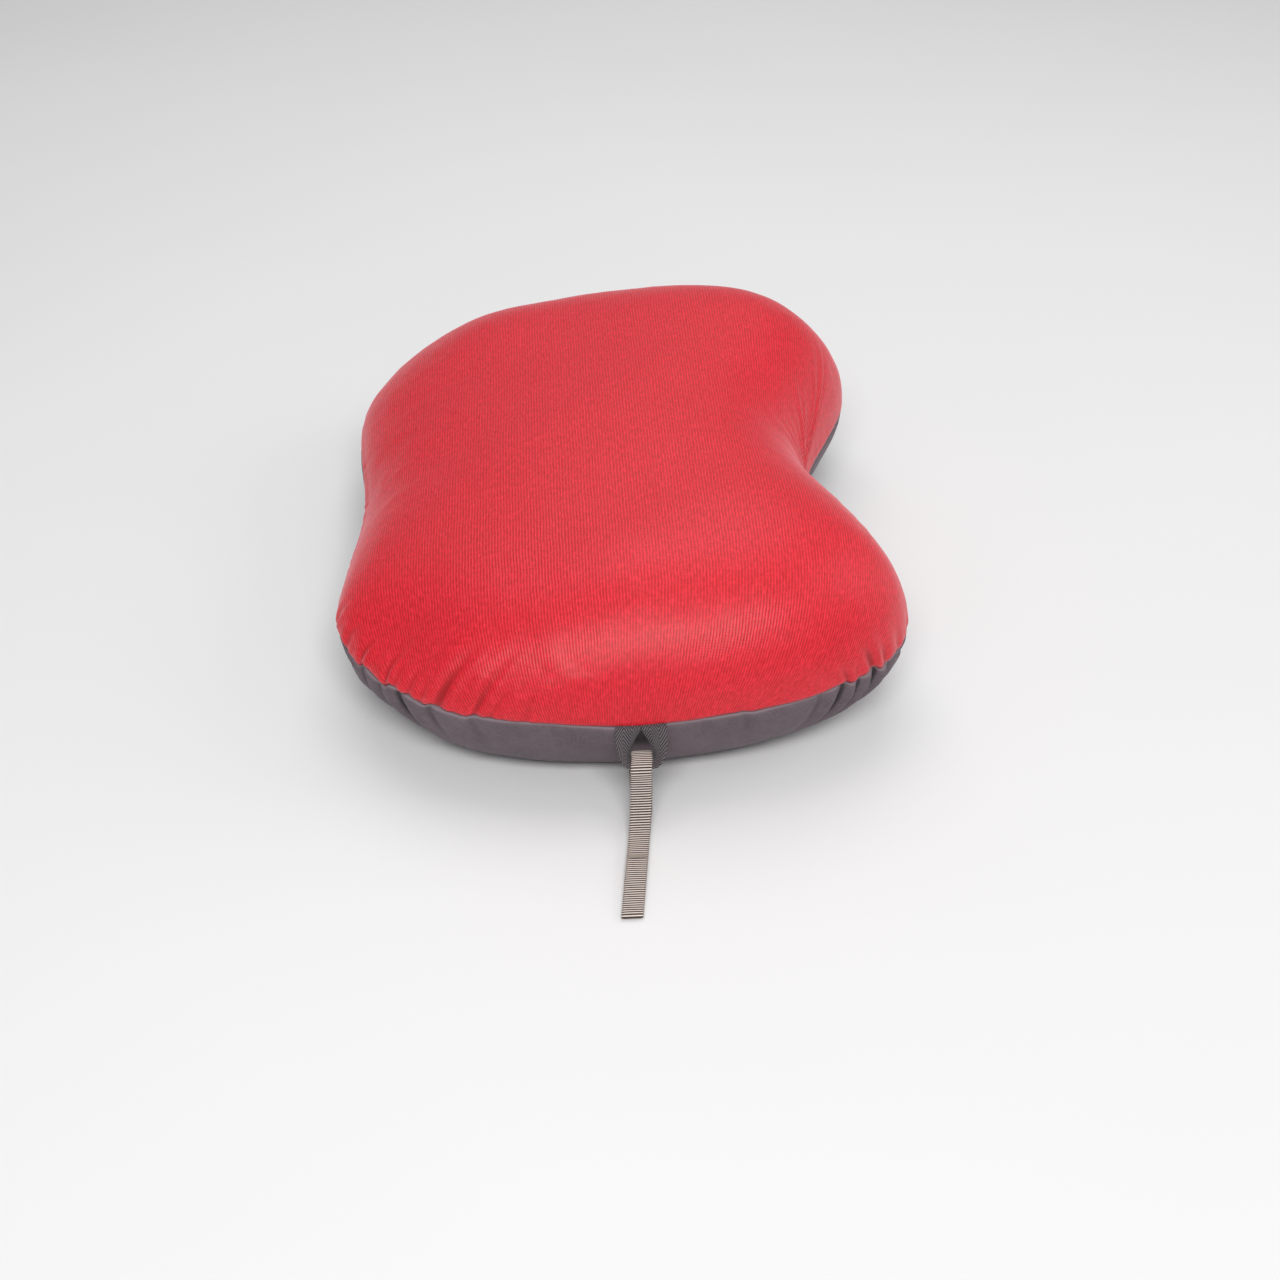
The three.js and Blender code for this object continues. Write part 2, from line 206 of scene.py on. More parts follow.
def resample(points, count):
    """Evenly spaced points along an open line, its last point left out."""
    length = length_along(points)
    return rows_at(np.linspace(0, length[-1], count, endpoint=False), length, points)


def seam_outline():
    """The seam from the near end's middle round by the neck, evenly spaced in each half."""
    half = [NECK, FRONT_LOBE, FRONT_CORNER, END, BACK_CORNER, BACK_LOBE, BACK_MIDDLE]
    control = np.array(half + [(-x, y) for x, y in half[-2:0:-1]], dtype=float) * MM
    curve = centripetal_curve(control)
    near, far = int(curve[:, 0].argmin()), int(curve[:, 0].argmax())
    front = np.vstack([curve[near:], curve[:far + 1]])
    back = curve[far:near + 1]
    return np.vstack([resample(front, AROUND // 2), resample(back, AROUND // 2)])


# The CAD model is centred along Y on its own box, so everything here moves by the same amount.
outline = seam_outline()
shift_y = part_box("cover_top")[0].y - outline[:, 1].min()
outline[:, 1] += shift_y
spine_y = SPINE_Y * MM + shift_y
loop_y = LOOP_Y * MM + shift_y
port = np.array([0, (BACK_MIDDLE[1] - PORT_INSET) * MM + shift_y, PORT_Z * MM])
port_out = np.array([0, math.cos(PORT_TILT), -math.sin(PORT_TILT)])
port_up = np.array([0, math.sin(PORT_TILT), math.cos(PORT_TILT)])
seam_steps = np.linalg.norm(np.roll(outline, -1, axis=0) - outline, axis=1)
seam_length = seam_steps.sum()
full_s = seam_length / MM
seam_s = np.concatenate([[0], np.cumsum(seam_steps)[:-1]])
tangent = unit(np.roll(outline, -1, axis=0) - np.roll(outline, 1, axis=0))
outward = np.c_[tangent[:, 1], -tangent[:, 0]]


def along_seam(place):
    """Signed distance along the seam from a place to each point of the seam, in mm."""
    gap = seam_s / MM - place
    return (gap + full_s / 2) % full_s - full_s / 2


# Places where the seam stands out a little past its even course: (place, half-width, distance), mm.
SEAM_SWELLS = [(152, 48, 2.9), (972, 26, 2.4)]
for place, half, push in SEAM_SWELLS:
    outline += outward * (push * MM * np.exp(-((along_seam(place) / half) ** 2)))[:, None]

# Both halves of the outline share the spine's points, so that the panels close along it.
half_turn = np.arange(AROUND // 2 + 1)
spine_x = SPINE_HALF * np.tanh(outline[half_turn, 0] / SPINE_REACH)
spine_x = (spine_x - spine_x[::-1]) / 2
spine = np.c_[np.concatenate([spine_x, spine_x[-2:0:-1]]), np.full(AROUND, spine_y)]


def crown_rise(x, y):
    u = x / (END[0] * MM)
    v = (y - shift_y) / (BACK_MIDDLE[1] * MM)
    return CROWN_RISE * (1 + CROWN_LEAN_X * u + CROWN_LEAN_Y * v + CROWN_MIDDLE * (1 - 3 * u * u))


def top_ring(angle):
    reach = max(math.cos(angle), 0) ** (2 / PROFILE_IN)
    rise = math.sin(angle) ** (2 / PROFILE_UP)
    plan = outline * reach + spine * (1 - reach)
    return np.c_[plan, SEAM_Z + rise * crown_rise(plan[:, 0], plan[:, 1])]


def base_ring(share, height):
    plan = outline * (1 - share) + spine * share
    return np.c_[plan, np.full(AROUND, height)]


# Rings run from the seam, which is ring 0, to the spine, and crowd near the seam.
top_angles = math.pi / 2 * np.linspace(0, 1, TOP_RINGS + 1) ** RING_CROWDING
side_angles = math.pi / 2 * np.linspace(0, 1, SIDE_RINGS + 1) ** RING_CROWDING
top_form = np.array([top_ring(a) for a in top_angles])
base_form = np.array(
    [base_ring(BASE_SHARE * (1 - math.cos(a)), SEAM_Z * (1 - math.sin(a))) for a in side_angles]
    + [base_ring(share, 0) for share in np.linspace(BASE_SHARE, 1, FLOOR_RINGS + 1)[1:]])


def ring_normals(form):
    """Unit normals of a ring grid that point away from the middle of the pillow."""
    along = np.roll(form, -1, axis=1) - np.roll(form, 1, axis=1)
    normal = unit(np.cross(along, np.gradient(form, axis=0)))
    away = form - np.array([0, spine_y, SEAM_Z])
    flip = np.sign((away * normal).sum(2, keepdims=True))
    return normal * np.where(flip == 0, 1, flip)


def run_length(form):
    """Distance from the seam along each line of a ring grid."""
    step = np.linalg.norm(np.diff(form, axis=0), axis=2)
    return np.concatenate([np.zeros((1, form.shape[1])), np.cumsum(step, axis=0)])


top_normal = ring_normals(top_form)
top_normal[-1] = (0, 0, 1)
base_normal = ring_normals(base_form)
base_normal[SIDE_RINGS:] = (0, 0, -1)
top_run = run_length(top_form)
base_run = run_length(base_form)


def cloth_lines(run):
    """Where each point lies on the flat cloth: along X and across it, from the spine outwards."""
    way = unit(outline - spine)
    reach = run[-1] - run
    lines = spine[None] + reach[..., None] * way[None]
    return np.concatenate([lines, run[..., None]], axis=2)


# ---------------- cloth simulation

def weld_spine(rings):
    """Faces of a ring grid whose last ring closes onto the spine line."""
    faces = grid_faces(rings, AROUND)
    first_of_last = (rings - 1) * AROUND
    place = faces - first_of_last
    welded = first_of_last + np.minimum(place, (AROUND - place) % AROUND)
    return np.where(place >= 0, welded, faces)


def closed_form():
    """The whole inflated form as one closed mesh."""
    rings = np.concatenate([top_form[::-1], base_form[1:]])
    obj = make_object("form", rings, grid_faces(len(rings), AROUND))
    weld = obj.modifiers.new("weld", "WELD")
    weld.merge_threshold = 0.05 * MM
    remesh = obj.modifiers.new("voxels", "REMESH")
    remesh.mode = "VOXEL"
    remesh.voxel_size = VOXEL
    apply_modifiers(obj)
    return obj


def read_offsets(form, tree, triangles, rest, offset):
    """The offset of the simulated cloth at each point of a ring grid."""
    out = []
    for point in form.reshape(-1, 3):
        place, _, index, _ = tree.find_nearest(Vector(point))
        corners = triangles[index]
        out.append(weights_in(np.array(place), *rest[corners]) @ offset[corners])
    return np.array(out).reshape(form.shape)


def weights_in(p, a, b, c):
    """Barycentric weights of a point in a triangle."""
    v0, v1, v2 = b - a, c - a, p - a
    d00, d01, d11, d20, d21 = v0 @ v0, v0 @ v1, v1 @ v1, v2 @ v0, v2 @ v1
    size = d00 * d11 - d01 * d01
    if abs(size) < 1e-18:
        return np.array([1.0, 0.0, 0.0])
    v = (d11 * d20 - d01 * d21) / size
    w = (d00 * d21 - d01 * d20) / size
    return np.array([1 - v - w, v, w])


def cloth_offsets():
    """How far air pressure moves the cloth, read back at the points of the top and the base."""
    obj = closed_form()
    rest = rows_of(obj.data.vertices, "co")
    seam = BVHTree.FromPolygons([(x, y, SEAM_Z) for x, y in outline],
                                [(i, (i + 1) % AROUND, i) for i in range(AROUND)])
    gather = obj.vertex_groups.new(name="gather")
    held = obj.vertex_groups.new(name="held")
    for k, point in enumerate(rest):
        distance = seam.find_nearest(Vector(point))[3]
        gather.add([k], math.exp(-(distance / GATHER_HALF) ** 2), "REPLACE")
        if point[2] < HELD_BELOW:
            held.add([k], 1.0, "REPLACE")

    cloth = obj.modifiers.new("cloth", "CLOTH")
    cloth.collision_settings.use_collision = False
    cloth.settings.effector_weights.gravity = 0
    for key, value in CLOTH.items():
        setattr(cloth.settings, key, value)
    for number in range(1, FRAMES + 1):
        bpy.context.scene.frame_set(number)
    apply_modifiers(obj)
    offset = rows_of(obj.data.vertices, "co") - rest
    bpy.context.scene.frame_set(1)

    obj.data.calc_loop_triangles()
    triangles = np.array([t.vertices[:] for t in obj.data.loop_triangles])
    tree = BVHTree.FromPolygons(rest.tolist(), triangles.tolist())
    found = [read_offsets(form, tree, triangles, rest, offset) for form in (top_form, base_form)]
    bpy.data.objects.remove(obj)
    return found


def blurred(values, rings, points):
    """A Gaussian blur over a ring grid, closed round the seam."""
    def kernel(sigma):
        x = np.arange(-int(3 * sigma), int(3 * sigma) + 1)
        weight = np.exp(-x * x / (2 * sigma * sigma))
        return weight / weight.sum()

    across, up = kernel(points), kernel(rings)
    pad = len(across) // 2
    wide = np.concatenate([values[:, -pad:], values, values[:, :pad]], axis=1)
    wide = np.array([np.convolve(row, across, "valid") for row in wide])
    pad = len(up) // 2
    tall = np.concatenate([np.repeat(wide[:1], pad, 0), wide, np.repeat(wide[-1:], pad, 0)])
    return np.array([np.convolve(column, up, "valid") for column in tall.T]).T


def simulated_relief(offset, normal):
    """A share of the simulated wrinkles and a little of the simulated swell, both capped."""
    out = (offset * normal).sum(2)
    swell = blurred(out, 8, 14)
    wrinkle = blurred(out, 0.7, 1.2) - swell
    cap = np.where(wrinkle > 0, WRINKLE_OUT, WRINKLE_IN)
    lift = SWELL_OUT * np.tanh(SWELL_SHARE * swell / SWELL_OUT)
    return WRINKLE_SHARE * cap * np.tanh(wrinkle / cap) + lift


# ---------------- gathers, creases and lumps

# Places along the seam, in mm from the near end's middle, where gathered cloth steps the seam line:
# (place, +1 where the step climbs along the seam and -1 where it drops, height).
NEAR_STEPS = [
    (61, -1, 0.8), (115, -1, 2.0), (135, -1, 2.9), (152, -1, 1.5), (170, 1, 0.8),
    (966, 1, 1.5), (981, -1, 1.2), (998, 1, 2.4), (1020, 1, 3.2), (1032, 1, 1.2), (1046, 1, 2.0),
    (1069, 1, 1.1),
]

# Creases of each panel: (place, lean along the seam per mm of height, reach, depth, half-width), mm.
TOP_CREASES = [
    (115, -0.30, 11, 1.5, 1.6), (122, -0.30, 10, 1.1, 1.4), (131, -0.25, 15, 2.0, 1.8),
    (141, -0.20, 12, 1.5, 1.6), (153, -0.15, 11, 1.1, 1.7), (168, -0.10, 10, 0.8, 1.6),
    (966, -0.10, 12, 1.1, 1.6), (984, -0.10, 13, 1.1, 1.8), (999, -0.12, 14, 1.5, 1.6),
    (1019, -0.15, 18, 1.4, 1.6), (1026, -0.10, 12, 1.1, 1.3), (1035, 0.00, 21, 1.0, 1.8),
    (1042, 0.02, 18, 0.9, 1.5), (1052, 0.16, 26, 1.8, 2.6), (1060, 0.20, 21, 1.1, 1.5),
    (1071, 0.26, 24, 1.5, 1.9), (1079, 0.32, 21, 1.0, 1.6), (1095, 0.25, 17, 0.8, 2.2),
]
BASE_CREASES = [
    (61, 0, 20, 0.7, 2.6), (99, -0.1, 26, 1.1, 2.4), (112, -0.1, 36, 2.4, 2.4), (122, -0.1, 34, 2.5, 2.2),
    (133, -0.1, 44, 3.4, 2.8), (143, 0, 28, 1.9, 2.2), (160, 0, 22, 1.2, 2.4), (178, 0, 20, 1.0, 2.4),
    (966, 0, 24, 1.5, 2.4), (984, 0, 26, 1.5, 2.6), (1000, 0, 26, 1.7, 2.4), (1014, 0, 22, 1.2, 2.2),
    (1028, 0.1, 44, 2.8, 2.8), (1047, 0.1, 24, 1.3, 2.6), (1070, 0.1, 22, 0.8, 3.0), (1092, 0, 20, 0.5, 3.0),
]

# Fine creases that fan out of the neck over the front of each lobe: their leans along the seam per mm of
# height, how far from the middle of the neck they start, their reach and their depth, in mm.
FAN_LEANS = (0.12, 0.3, 0.5, 0.72, 0.98, 1.3, 1.7, 2.2)
FAN_START = 2
FAN_REACH = 74
FAN_DEPTH = 1.1

# Each loop pulls the seam down a little and dimples the lower panel below it, in mm; painted fold shade
# darkens the dimple.
LOOP_PULL = 1.9
LOOP_PULL_HALF = 26
LOOP_DIMPLE = 2.2
DIMPLE_MIDDLE = 9
DIMPLE_HALF_ALONG = 7
DIMPLE_HALF_UP = 8

neck_s = seam_s[AROUND // 4] / MM
far_s = seam_s[AROUND // 2] / MM


def mirrored(place):
    """The same place on the other side of the neck or of the back's middle."""
    return far_s - place if place < far_s else far_s + full_s - place


def far_copies(creases):
    """Creases for the far lobes, like the near ones but not the same."""
    out = []
    for place, lean, reach, depth, half in creases:
        shift, scale = rng.normal(0, 3), rng.uniform(0.6, 1.1)
        wide = half * rng.uniform(0.9, 1.3)
        out.append((mirrored(place) + shift, -lean, reach * scale, depth * scale, wide))
    return out


def small_gathers(count, depth):
    """Faint gathers at random places all along the seam."""
    return [(rng.uniform(0, full_s), rng.normal(0, 0.15), rng.uniform(5, 13), depth * rng.uniform(0.3, 1),
             rng.uniform(1.2, 2.2)) for _ in range(count)]


def crease_relief(run, creases):
    """A valley with a soft ridge on each side, strongest a little way from the seam."""
    d = run / MM
    total = np.zeros(run.shape)
    for place, lean, reach, depth, half in creases:
        gap = along_seam(place)[None] - lean * d
        u = gap / (half * (1 + 0.6 * d / reach))
        section = 0.45 * np.exp(-((np.abs(u) - 2.1) ** 2) / 1.4) - np.exp(-u * u)
        total += depth * section * (0.35 + 0.65 * (1 - np.exp(-d / 3))) * np.exp(-((d / reach) ** 2))
    return total * MM


def neck_fan(run):
    """Fine ridges that fan out of the neck."""
    d = run / MM
    total = np.zeros(run.shape)
    for hand, strength in ((1, 1.0), (-1, 0.8)):
        for lean in FAN_LEANS:
            lean_now = hand * lean * rng.uniform(0.92, 1.08)
            depth = FAN_DEPTH * strength * rng.uniform(0.45, 1)
            reach = FAN_REACH * rng.uniform(0.6, 1)
            gap = along_seam(neck_s + hand * FAN_START)[None] - lean_now * d
            half = (0.7 + 0.028 * d) * (1 + 0.3 * abs(lean_now))
            section = np.exp(-((gap / half) ** 2)) - 0.55 * np.exp(-(((gap - hand * 2 * half) / half) ** 2))
            total += depth * section * smoothstep(3, 14, d) * (1 - smoothstep(0.35, 1, d / reach))
    return total * MM


# Patches of fine slanting ripples over the gathered corners: (place, slant, pitch, depth), mm.
RIPPLES = [(108, -0.9, 3.1, 0.28), (1040, 0.8, 3.4, 0.08), (mirrored(108), 0.9, 3.4, 0.16)]
RIPPLE_MIDDLE = 20
RIPPLE_HALF_ALONG = 13
RIPPLE_HALF_UP = 9


def ripples(run):
    """The patches of ripples, each strongest a little way above the seam."""
    d = run / MM
    total = np.zeros(run.shape)
    for place, slant, pitch, depth in RIPPLES:
        gap = along_seam(place)[None]
        window = np.exp(-((gap / RIPPLE_HALF_ALONG) ** 2) - ((d - RIPPLE_MIDDLE) / RIPPLE_HALF_UP) ** 2)
        total += depth * window * np.sin(2 * math.pi * (d - slant * gap) / pitch)
    return total * MM


def wavy(points, wavelength, count=14):
    """Smooth noise from waves in random directions, about 1 high."""
    way = unit(rng.normal(size=(count, 3))) * 2 * math.pi / (wavelength * rng.uniform(0.7, 1.5, (count, 1)))
    phase = rng.uniform(0, 2 * math.pi, count)
    return np.sin(points @ way.T + phase).sum(-1) / math.sqrt(count / 2)


def gap_to_loop(hand):
    """Distance along Y from a loop to the seam at the same end, in mm; 1000 stands for the other end."""
    return np.where(outline[:, 0] * hand > 0, (outline[:, 1] - loop_y) / MM, 1000)


def seam_steps_line():
    """Height of the seam line above its even course, in metres."""
    steps = NEAR_STEPS + [(mirrored(place) + rng.normal(0, 4), -way, height * rng.uniform(0.6, 1.1))
                          for place, way, height in NEAR_STEPS]
    line = np.zeros(AROUND)
    for place, way, height in steps:
        gap = along_seam(place)
        line += height * np.tanh(way * gap / 2) * np.exp(-np.abs(gap) / 10)
    line += 0.22 * wavy(np.c_[outline, np.zeros(AROUND)], 30 * MM)
    for hand in (-1, 1):
        line -= LOOP_PULL * np.exp(-((gap_to_loop(hand) / LOOP_PULL_HALF) ** 2))
    return line * MM


# Each panel's edge dips into the seam and rolls out just beside it, in mm.
ROLL_START = 1.7
DIP_DEPTH = 0.7
DIP_HALF = 1.1
TOP_ROLL = {"height": 0.75, "fade": 12}
BASE_ROLL = {"height": 0.9, "fade": 6}


def roll(run, height, fade):
    d = run / MM
    rise = height * (1 - np.exp(-((d / ROLL_START) ** 2))) * np.exp(-d / fade)
    return (rise - DIP_DEPTH * np.exp(-((d / DIP_HALF) ** 2))) * MM


# Soft lumps of the filling under the top panel: X, Y, height and half-width, in mm.
LUMPS = [(120, -88, 3.8, 40), (150, -14, -1.0, 24), (124, 72, 5.0, 40), (-142, 116, -4.5, 26),
         (60, 118, -1.0, 20)]


def lumps():
    total = np.zeros(top_form.shape[:2])
    for x, y, height, half in LUMPS:
        gap = (top_form[..., 0] - x * MM) ** 2 + (top_form[..., 1] - shift_y - y * MM) ** 2
        total += height * MM * np.exp(-gap / (half * MM) ** 2)
    return total * smoothstep(0, 22 * MM, top_run)


def port_clear(form):
    """0 over the valve's port and 1 away from it, so that the cloth stays flat round the binding."""
    away = form - port
    radius = np.linalg.norm(away - (away @ port_out)[..., None] * port_out, axis=-1)
    near_side = (away @ port_out) > -25 * MM
    return np.where(near_side, smoothstep(1.15 * PORT_R, 2 * PORT_R, radius), 1)


def displaced(form, normal, relief, seam_line, run):
    """The form moved along its normals, with the seam line's steps fading away from the seam."""
    out = form + relief[..., None] * normal
    out[..., 2] += seam_line[None] * np.exp(-((run / MM / 9) ** 2))
    return out


# Over the crown the cloth is pulled smooth: where the simulated wrinkles start and stop to fade, and by
# how much. The floor flattens the relief of the base.
CALM_FROM = 25 * MM
CALM_TO = 60 * MM
CALM_SHARE = 0.85
FLOOR_RELIEF = 0.3


def covers():
    """Outer surfaces of the top and lower panels as ring grids, and the depth of their folds."""
    seam_line = seam_steps_line()
    top_folds = crease_relief(top_run, TOP_CREASES + far_copies(TOP_CREASES) + small_gathers(70, 0.3))
    top_folds += neck_fan(top_run)
    top_relief = roll(top_run, **TOP_ROLL) + top_folds + ripples(top_run) + lumps()
    top_relief += 0.35 * MM * wavy(top_form, 75 * MM) * smoothstep(0, 20 * MM, top_run)
    top_relief += 0.05 * MM * wavy(top_form, 14 * MM) * smoothstep(0, 6 * MM, top_run)
    base_folds = crease_relief(base_run, BASE_CREASES + far_copies(BASE_CREASES) + small_gathers(60, 0.4))
    base_folds *= port_clear(base_form)
    for hand in (-1, 1):
        along = gap_to_loop(hand)[None] / DIMPLE_HALF_ALONG
        up = (base_run / MM - DIMPLE_MIDDLE) / DIMPLE_HALF_UP
        base_folds -= LOOP_DIMPLE * MM * np.exp(-(along ** 2) - up ** 2)
    base_relief = roll(base_run, **BASE_ROLL) + base_folds
    base_relief += 0.35 * MM * wavy(base_form, 45 * MM)
    top_offset, base_offset = cloth_offsets()
    calm = 1 - CALM_SHARE * smoothstep(CALM_FROM, CALM_TO, top_run)
    near_seam = smoothstep(0, 8 * MM, top_run) * calm
    top_relief += simulated_relief(top_offset, top_normal) * near_seam
    base_relief += simulated_relief(base_offset, base_normal) * smoothstep(0, 6 * MM, base_run)
    base_relief *= port_clear(base_form)
    base_relief[SIDE_RINGS:] *= FLOOR_RELIEF
    top = displaced(top_form, top_normal, top_relief, seam_line, top_run)
    base = displaced(base_form, base_normal, base_relief, seam_line, base_run)
    base[..., 2] = np.maximum(base[..., 2], groove_height(base[..., 1]))
    # The fold depths go on to the panels, whose materials paint shade into the deeper folds.
    return top, base, top_folds, base_folds


def groove_height(y):
    """Lowest place of the lower panel: the floor, or the roof of the strap's groove."""
    gap = np.abs(y - loop_y)
    return GROOVE_DEPTH * (1 - smoothstep(GROOVE_HALF, GROOVE_HALF + GROOVE_EDGE, gap))


SEAM_GAP = 0.25 * MM
TURN_IN = 3 * MM
RIM_SHARES = (1, 0.5, 0.15)
RIM_CLOSES = 0.6


def with_rims(grid):
    """A ring grid with its first ring repeated for each rim of the turned-in edge."""
    return np.concatenate([grid[:1]] * len(RIM_SHARES) + [grid])


def panel(name, surface, run, folds, material, gap, flip):
    """A panel whose edge turns in at the seam, as a mesh that carries its cloth lines and folds."""
    rings = with_rims(surface)
    for rim, share in zip(rings, RIM_SHARES):
        rim[:, :2] -= outward * TURN_IN * share
        rim[:, 2] += gap * (1 - RIM_CLOSES * share)
    rings[len(RIM_SHARES), :, 2] += gap
    grids = (rings, with_rims(cloth_lines(run)), with_rims(np.repeat(folds[..., None] / MM, 3, axis=2)))
    faces = weld_spine(len(rings))
    used, index = np.unique(faces, return_inverse=True)
    faces = index.reshape(faces.shape)
    if flip:
        faces = faces[:, ::-1]
    points, weave, shade = [grid.reshape(-1, 3)[used] for grid in grids]
    return make_object(name, points, faces, material, weave=weave, folds=shade)


def cut_port(obj):
    """Opens the valve's port in the lower panel and draws its edge to a true circle."""
    mesh = obj.data
    points = rows_of(mesh.vertices, "co")
    away = points - port
    depth = away @ port_out
    flat = away - depth[:, None] * port_out
    radius = np.linalg.norm(flat, axis=1)
    inside = (radius < PORT_R) & (depth > -20 * MM)
    faces = [tuple(p.vertices) for p in mesh.polygons]
    kept = [f for f in faces if not all(inside[v] for v in f)]
    edge = {v for f in kept for v in f if inside[v]}
    for v in edge:
        points[v] += flat[v] / radius[v] * (PORT_R - radius[v])
    used, index = np.unique(np.array(kept), return_inverse=True)
    stored = {key: rows_of(mesh.attributes[key].data, "vector")[used] for key in ("weave", "folds")}
    name = obj.name
    opened = make_object(name + "_open", points[used], index.reshape(-1, 4), mesh.materials[0], **stored)
    bpy.data.objects.remove(obj)
    opened.name = name
    return opened


# ---------------- node materials

def linear(*srgb):
    """Scene colour of an sRGB colour given in steps of 0 to 255."""
    return tuple((c / 255 / 12.92) if c <= 10 else (((c / 255) + 0.055) / 1.055) ** 2.4 for c in srgb)


def scaled(shade, by):
    return tuple(min(c * by, 1) for c in shade)


class Material:
    """A Principled material with short calls for the nodes that feed it."""

    def __init__(self, name, **values):
        self.data = bpy.data.materials.new(name)
        self.data.use_nodes = True
        self.tree = self.data.node_tree
        self.shader = self.tree.nodes["Principled BSDF"]
        for key, value in values.items():
            socket = self.shader.inputs[key.replace("_", " ")]
            socket.default_value = (*value, 1) if isinstance(value, tuple) else value

    def feed(self, socket, value):
        if isinstance(value, bpy.types.NodeSocket):
            self.tree.links.new(value, socket)
        else:
            socket.default_value = value

    def math(self, operation, a, b=0.0, c=0.0):
        node = self.tree.nodes.new("ShaderNodeMath")
        node.operation = operation
        for socket, value in zip(node.inputs, (a, b, c)):
            self.feed(socket, value)
        return node.outputs[0]

    def stored(self, name):
        node = self.tree.nodes.new("ShaderNodeAttribute")
        node.attribute_name = name
        return node.outputs["Vector"]

    def parts(self, name):
        """The three numbers of a stored vector."""
        node = self.tree.nodes.new("ShaderNodeSeparateXYZ")
        self.feed(node.inputs[0], self.stored(name))
        return node.outputs

    def place(self):
        return self.tree.nodes.new("ShaderNodeTexCoord").outputs["Object"]

    def noise(self, vector, scale, detail=2.0, roughness=0.5):
        node = self.tree.nodes.new("ShaderNodeTexNoise")
        self.feed(node.inputs["Vector"], vector)
        node.inputs["Scale"].default_value = scale
        node.inputs["Detail"].default_value = detail
        node.inputs["Roughness"].default_value = roughness
        return node.outputs["Fac"]

    def streaks(self, u, w, scale_u, scale_w, *detail):
        """Noise with its own scale along and across the cloth."""
        node = self.tree.nodes.new("ShaderNodeCombineXYZ")
        for socket, value, scale in zip(node.inputs, (u, w), (scale_u, scale_w)):
            self.feed(socket, self.math("MULTIPLY", value, scale))
        return self.noise(node.outputs[0], 1.0, *detail)

    def valley(self, deep):
        """0 in a fold this deep, in mm, and 1 outside the folds: the mask of the shade painted into the
        folds.
        """
        return self.ramp(self.parts("folds")[0], deep, -0.1)

    def ramp(self, value, low, high, to_low=0.0, to_high=1.0):
        node = self.tree.nodes.new("ShaderNodeMapRange")
        node.interpolation_type = "SMOOTHSTEP"
        for socket, number in zip(node.inputs, (value, low, high, to_low, to_high)):
            self.feed(socket, number)
        return node.outputs[0]

    def blend(self, share, a, b):
        node = self.tree.nodes.new("ShaderNodeMix")
        node.data_type = "RGBA"
        self.feed(node.inputs[0], share)
        for socket, value in zip((node.inputs[6], node.inputs[7]), (a, b)):
            self.feed(socket, (*value, 1) if isinstance(value, tuple) else value)
        return node.outputs[2]

    def bump(self, height, distance, strength):
        node = self.tree.nodes.new("ShaderNodeBump")
        node.inputs["Strength"].default_value = strength
        node.inputs["Distance"].default_value = distance
        self.feed(node.inputs["Height"], height)
        self.feed(self.shader.inputs["Normal"], node.outputs[0])

    def color(self, socket):
        self.feed(self.shader.inputs["Base Color"], socket)

    def wave(self, value, pitch):
        """A sine of one turn per pitch, from 0 to 1."""
        turn = self.math("MULTIPLY", value, 2 * math.pi / pitch)
        return self.math("MULTIPLY_ADD", self.math("SINE", turn), 0.5, 0.5)


WALE_PITCH = 1.55 * MM
COURSE_PITCH = 1.2 * MM


def knit_material():
    """Brushed fine-rib knit: wales along the pillow, slanting loops on each, and short raised fibres."""
    m = Material("red_knit", Roughness=0.44, Sheen_Weight=0.34, Sheen_Roughness=0.34,
                 Sheen_Tint=linear(255, 180, 190), Specular_IOR_Level=0.46)
    u, w, _ = m.parts("weave")
    drift = m.math("MULTIPLY_ADD", m.noise(m.stored("weave"), 45.0, 1.0), 1.0 * MM, -0.5 * MM)
    w_now = m.math("ADD", w, drift)
    wale = m.wave(w_now, WALE_PITCH)
    course = m.wave(m.math("MULTIPLY_ADD", wale, 0.5 * MM, u), COURSE_PITCH)
    streak = m.streaks(u, w, 240.0, 1500.0, 3.0, 0.65)
    mottle = m.noise(m.stored("weave"), 380.0, 3.0, 0.6)
    cloud = m.noise(m.stored("weave"), 26.0, 2.0)
    fibres = m.math("MULTIPLY", m.ramp(streak, 0.38, 0.66), 0.4)
    light = m.math("MULTIPLY_ADD", m.ramp(wale, 0.3, 0.95), 0.42, fibres)
    light = m.math("ADD", light, m.math("MULTIPLY", m.ramp(mottle, 0.38, 0.7), 0.24))
    light = m.math("ADD", light, m.math("MULTIPLY_ADD", cloud, 0.14, -0.14))
    color = m.blend(light, linear(180, 0, 14), linear(246, 40, 62))
    # Painted shade: the deeper creases and the neck fan are coloured a deeper red.
    m.color(m.blend(m.valley(-1.4), linear(162, 0, 14), color))
    height = m.math("MULTIPLY_ADD", course, 0.2, m.math("MULTIPLY", wale, 0.5))
    height = m.math("MULTIPLY_ADD", streak, 0.45, height)
    m.bump(height, 0.3 * MM, 0.6)
    return m.data


